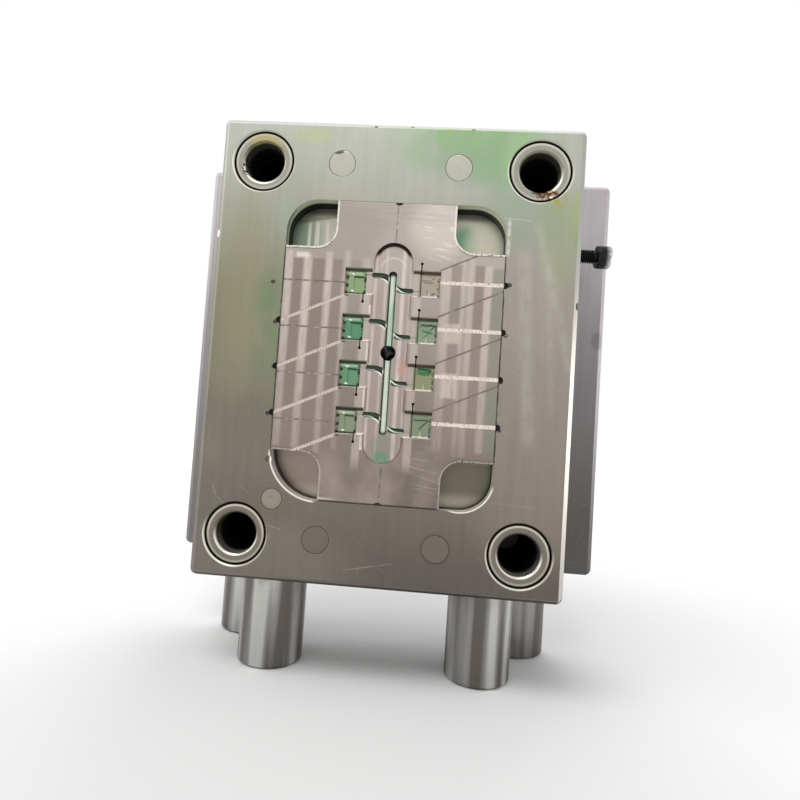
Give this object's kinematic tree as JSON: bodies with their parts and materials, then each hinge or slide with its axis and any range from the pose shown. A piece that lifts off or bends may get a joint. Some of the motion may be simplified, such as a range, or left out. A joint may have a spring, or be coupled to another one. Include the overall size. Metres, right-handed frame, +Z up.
{
  "type": "plastic injection mould, fixed half",
  "caption": "Fixed half of a small injection mould: ground steel plates, cavity insert with runners and small cavities, guide bushes, on round support legs.",
  "frame": {"origin": "on the ground plane, midway between the ends of the feet's box in width and depth", "axes": "+Z up along the long side of the plates, -Y out of the parting face, +X to the right as seen from the parting face"},
  "size_m": [0.2, 0.085, 0.23],
  "materials": {
    "ground_steel": "ground",
    "clamp_steel": "ground",
    "insert_steel": "milled",
    "block_steel": "green rust preventive film",
    "bush_steel": "ground, oiled",
    "pin_steel": "ground",
    "leg_steel": "turned, polished",
    "black_screw": "black oxide",
    "ring_steel": "turned"
  },
  "bodies": {
    "root": {"cavity_plate": "ground_steel", "clamp_plate": "clamp_steel", "cavity_insert": "insert_steel", "index_pin": "pin_steel", "sprue_bush": "bush_steel", "locating_ring": "ring_steel", "side_screw": "black_screw", "cavity_block_l1": "block_steel", "cavity_block_l2": "block_steel", "cavity_block_l3": "block_steel", "cavity_block_l4": "block_steel", "cavity_block_r1": "block_steel", "cavity_block_r2": "block_steel", "cavity_block_r3": "block_steel", "cavity_block_r4": "block_steel", "guide_bush_tl": "bush_steel", "guide_bush_tr": "bush_steel", "guide_bush_bl": "bush_steel", "guide_bush_br": "bush_steel", "rest_pad_tl": "pin_steel", "rest_pad_tr": "pin_steel", "rest_pad_bl": "pin_steel", "rest_pad_br": "pin_steel", "clamp_screw_tl": "black_screw", "clamp_screw_tr": "black_screw", "clamp_screw_bl": "black_screw", "clamp_screw_br": "black_screw", "insert_screw_tl": "black_screw", "insert_screw_tr": "black_screw", "insert_screw_bl": "black_screw", "insert_screw_br": "black_screw", "ring_screw_tl": "black_screw", "ring_screw_tr": "black_screw", "ring_screw_bl": "black_screw", "ring_screw_br": "black_screw", "leg_front_left": "leg_steel", "leg_front_right": "leg_steel", "leg_rear_left": "leg_steel", "leg_rear_right": "leg_steel", "leg_stud_front_left": "black_screw", "leg_stud_front_right": "black_screw", "leg_stud_rear_left": "black_screw", "leg_stud_rear_right": "black_screw"}
  },
  "joints": []
}
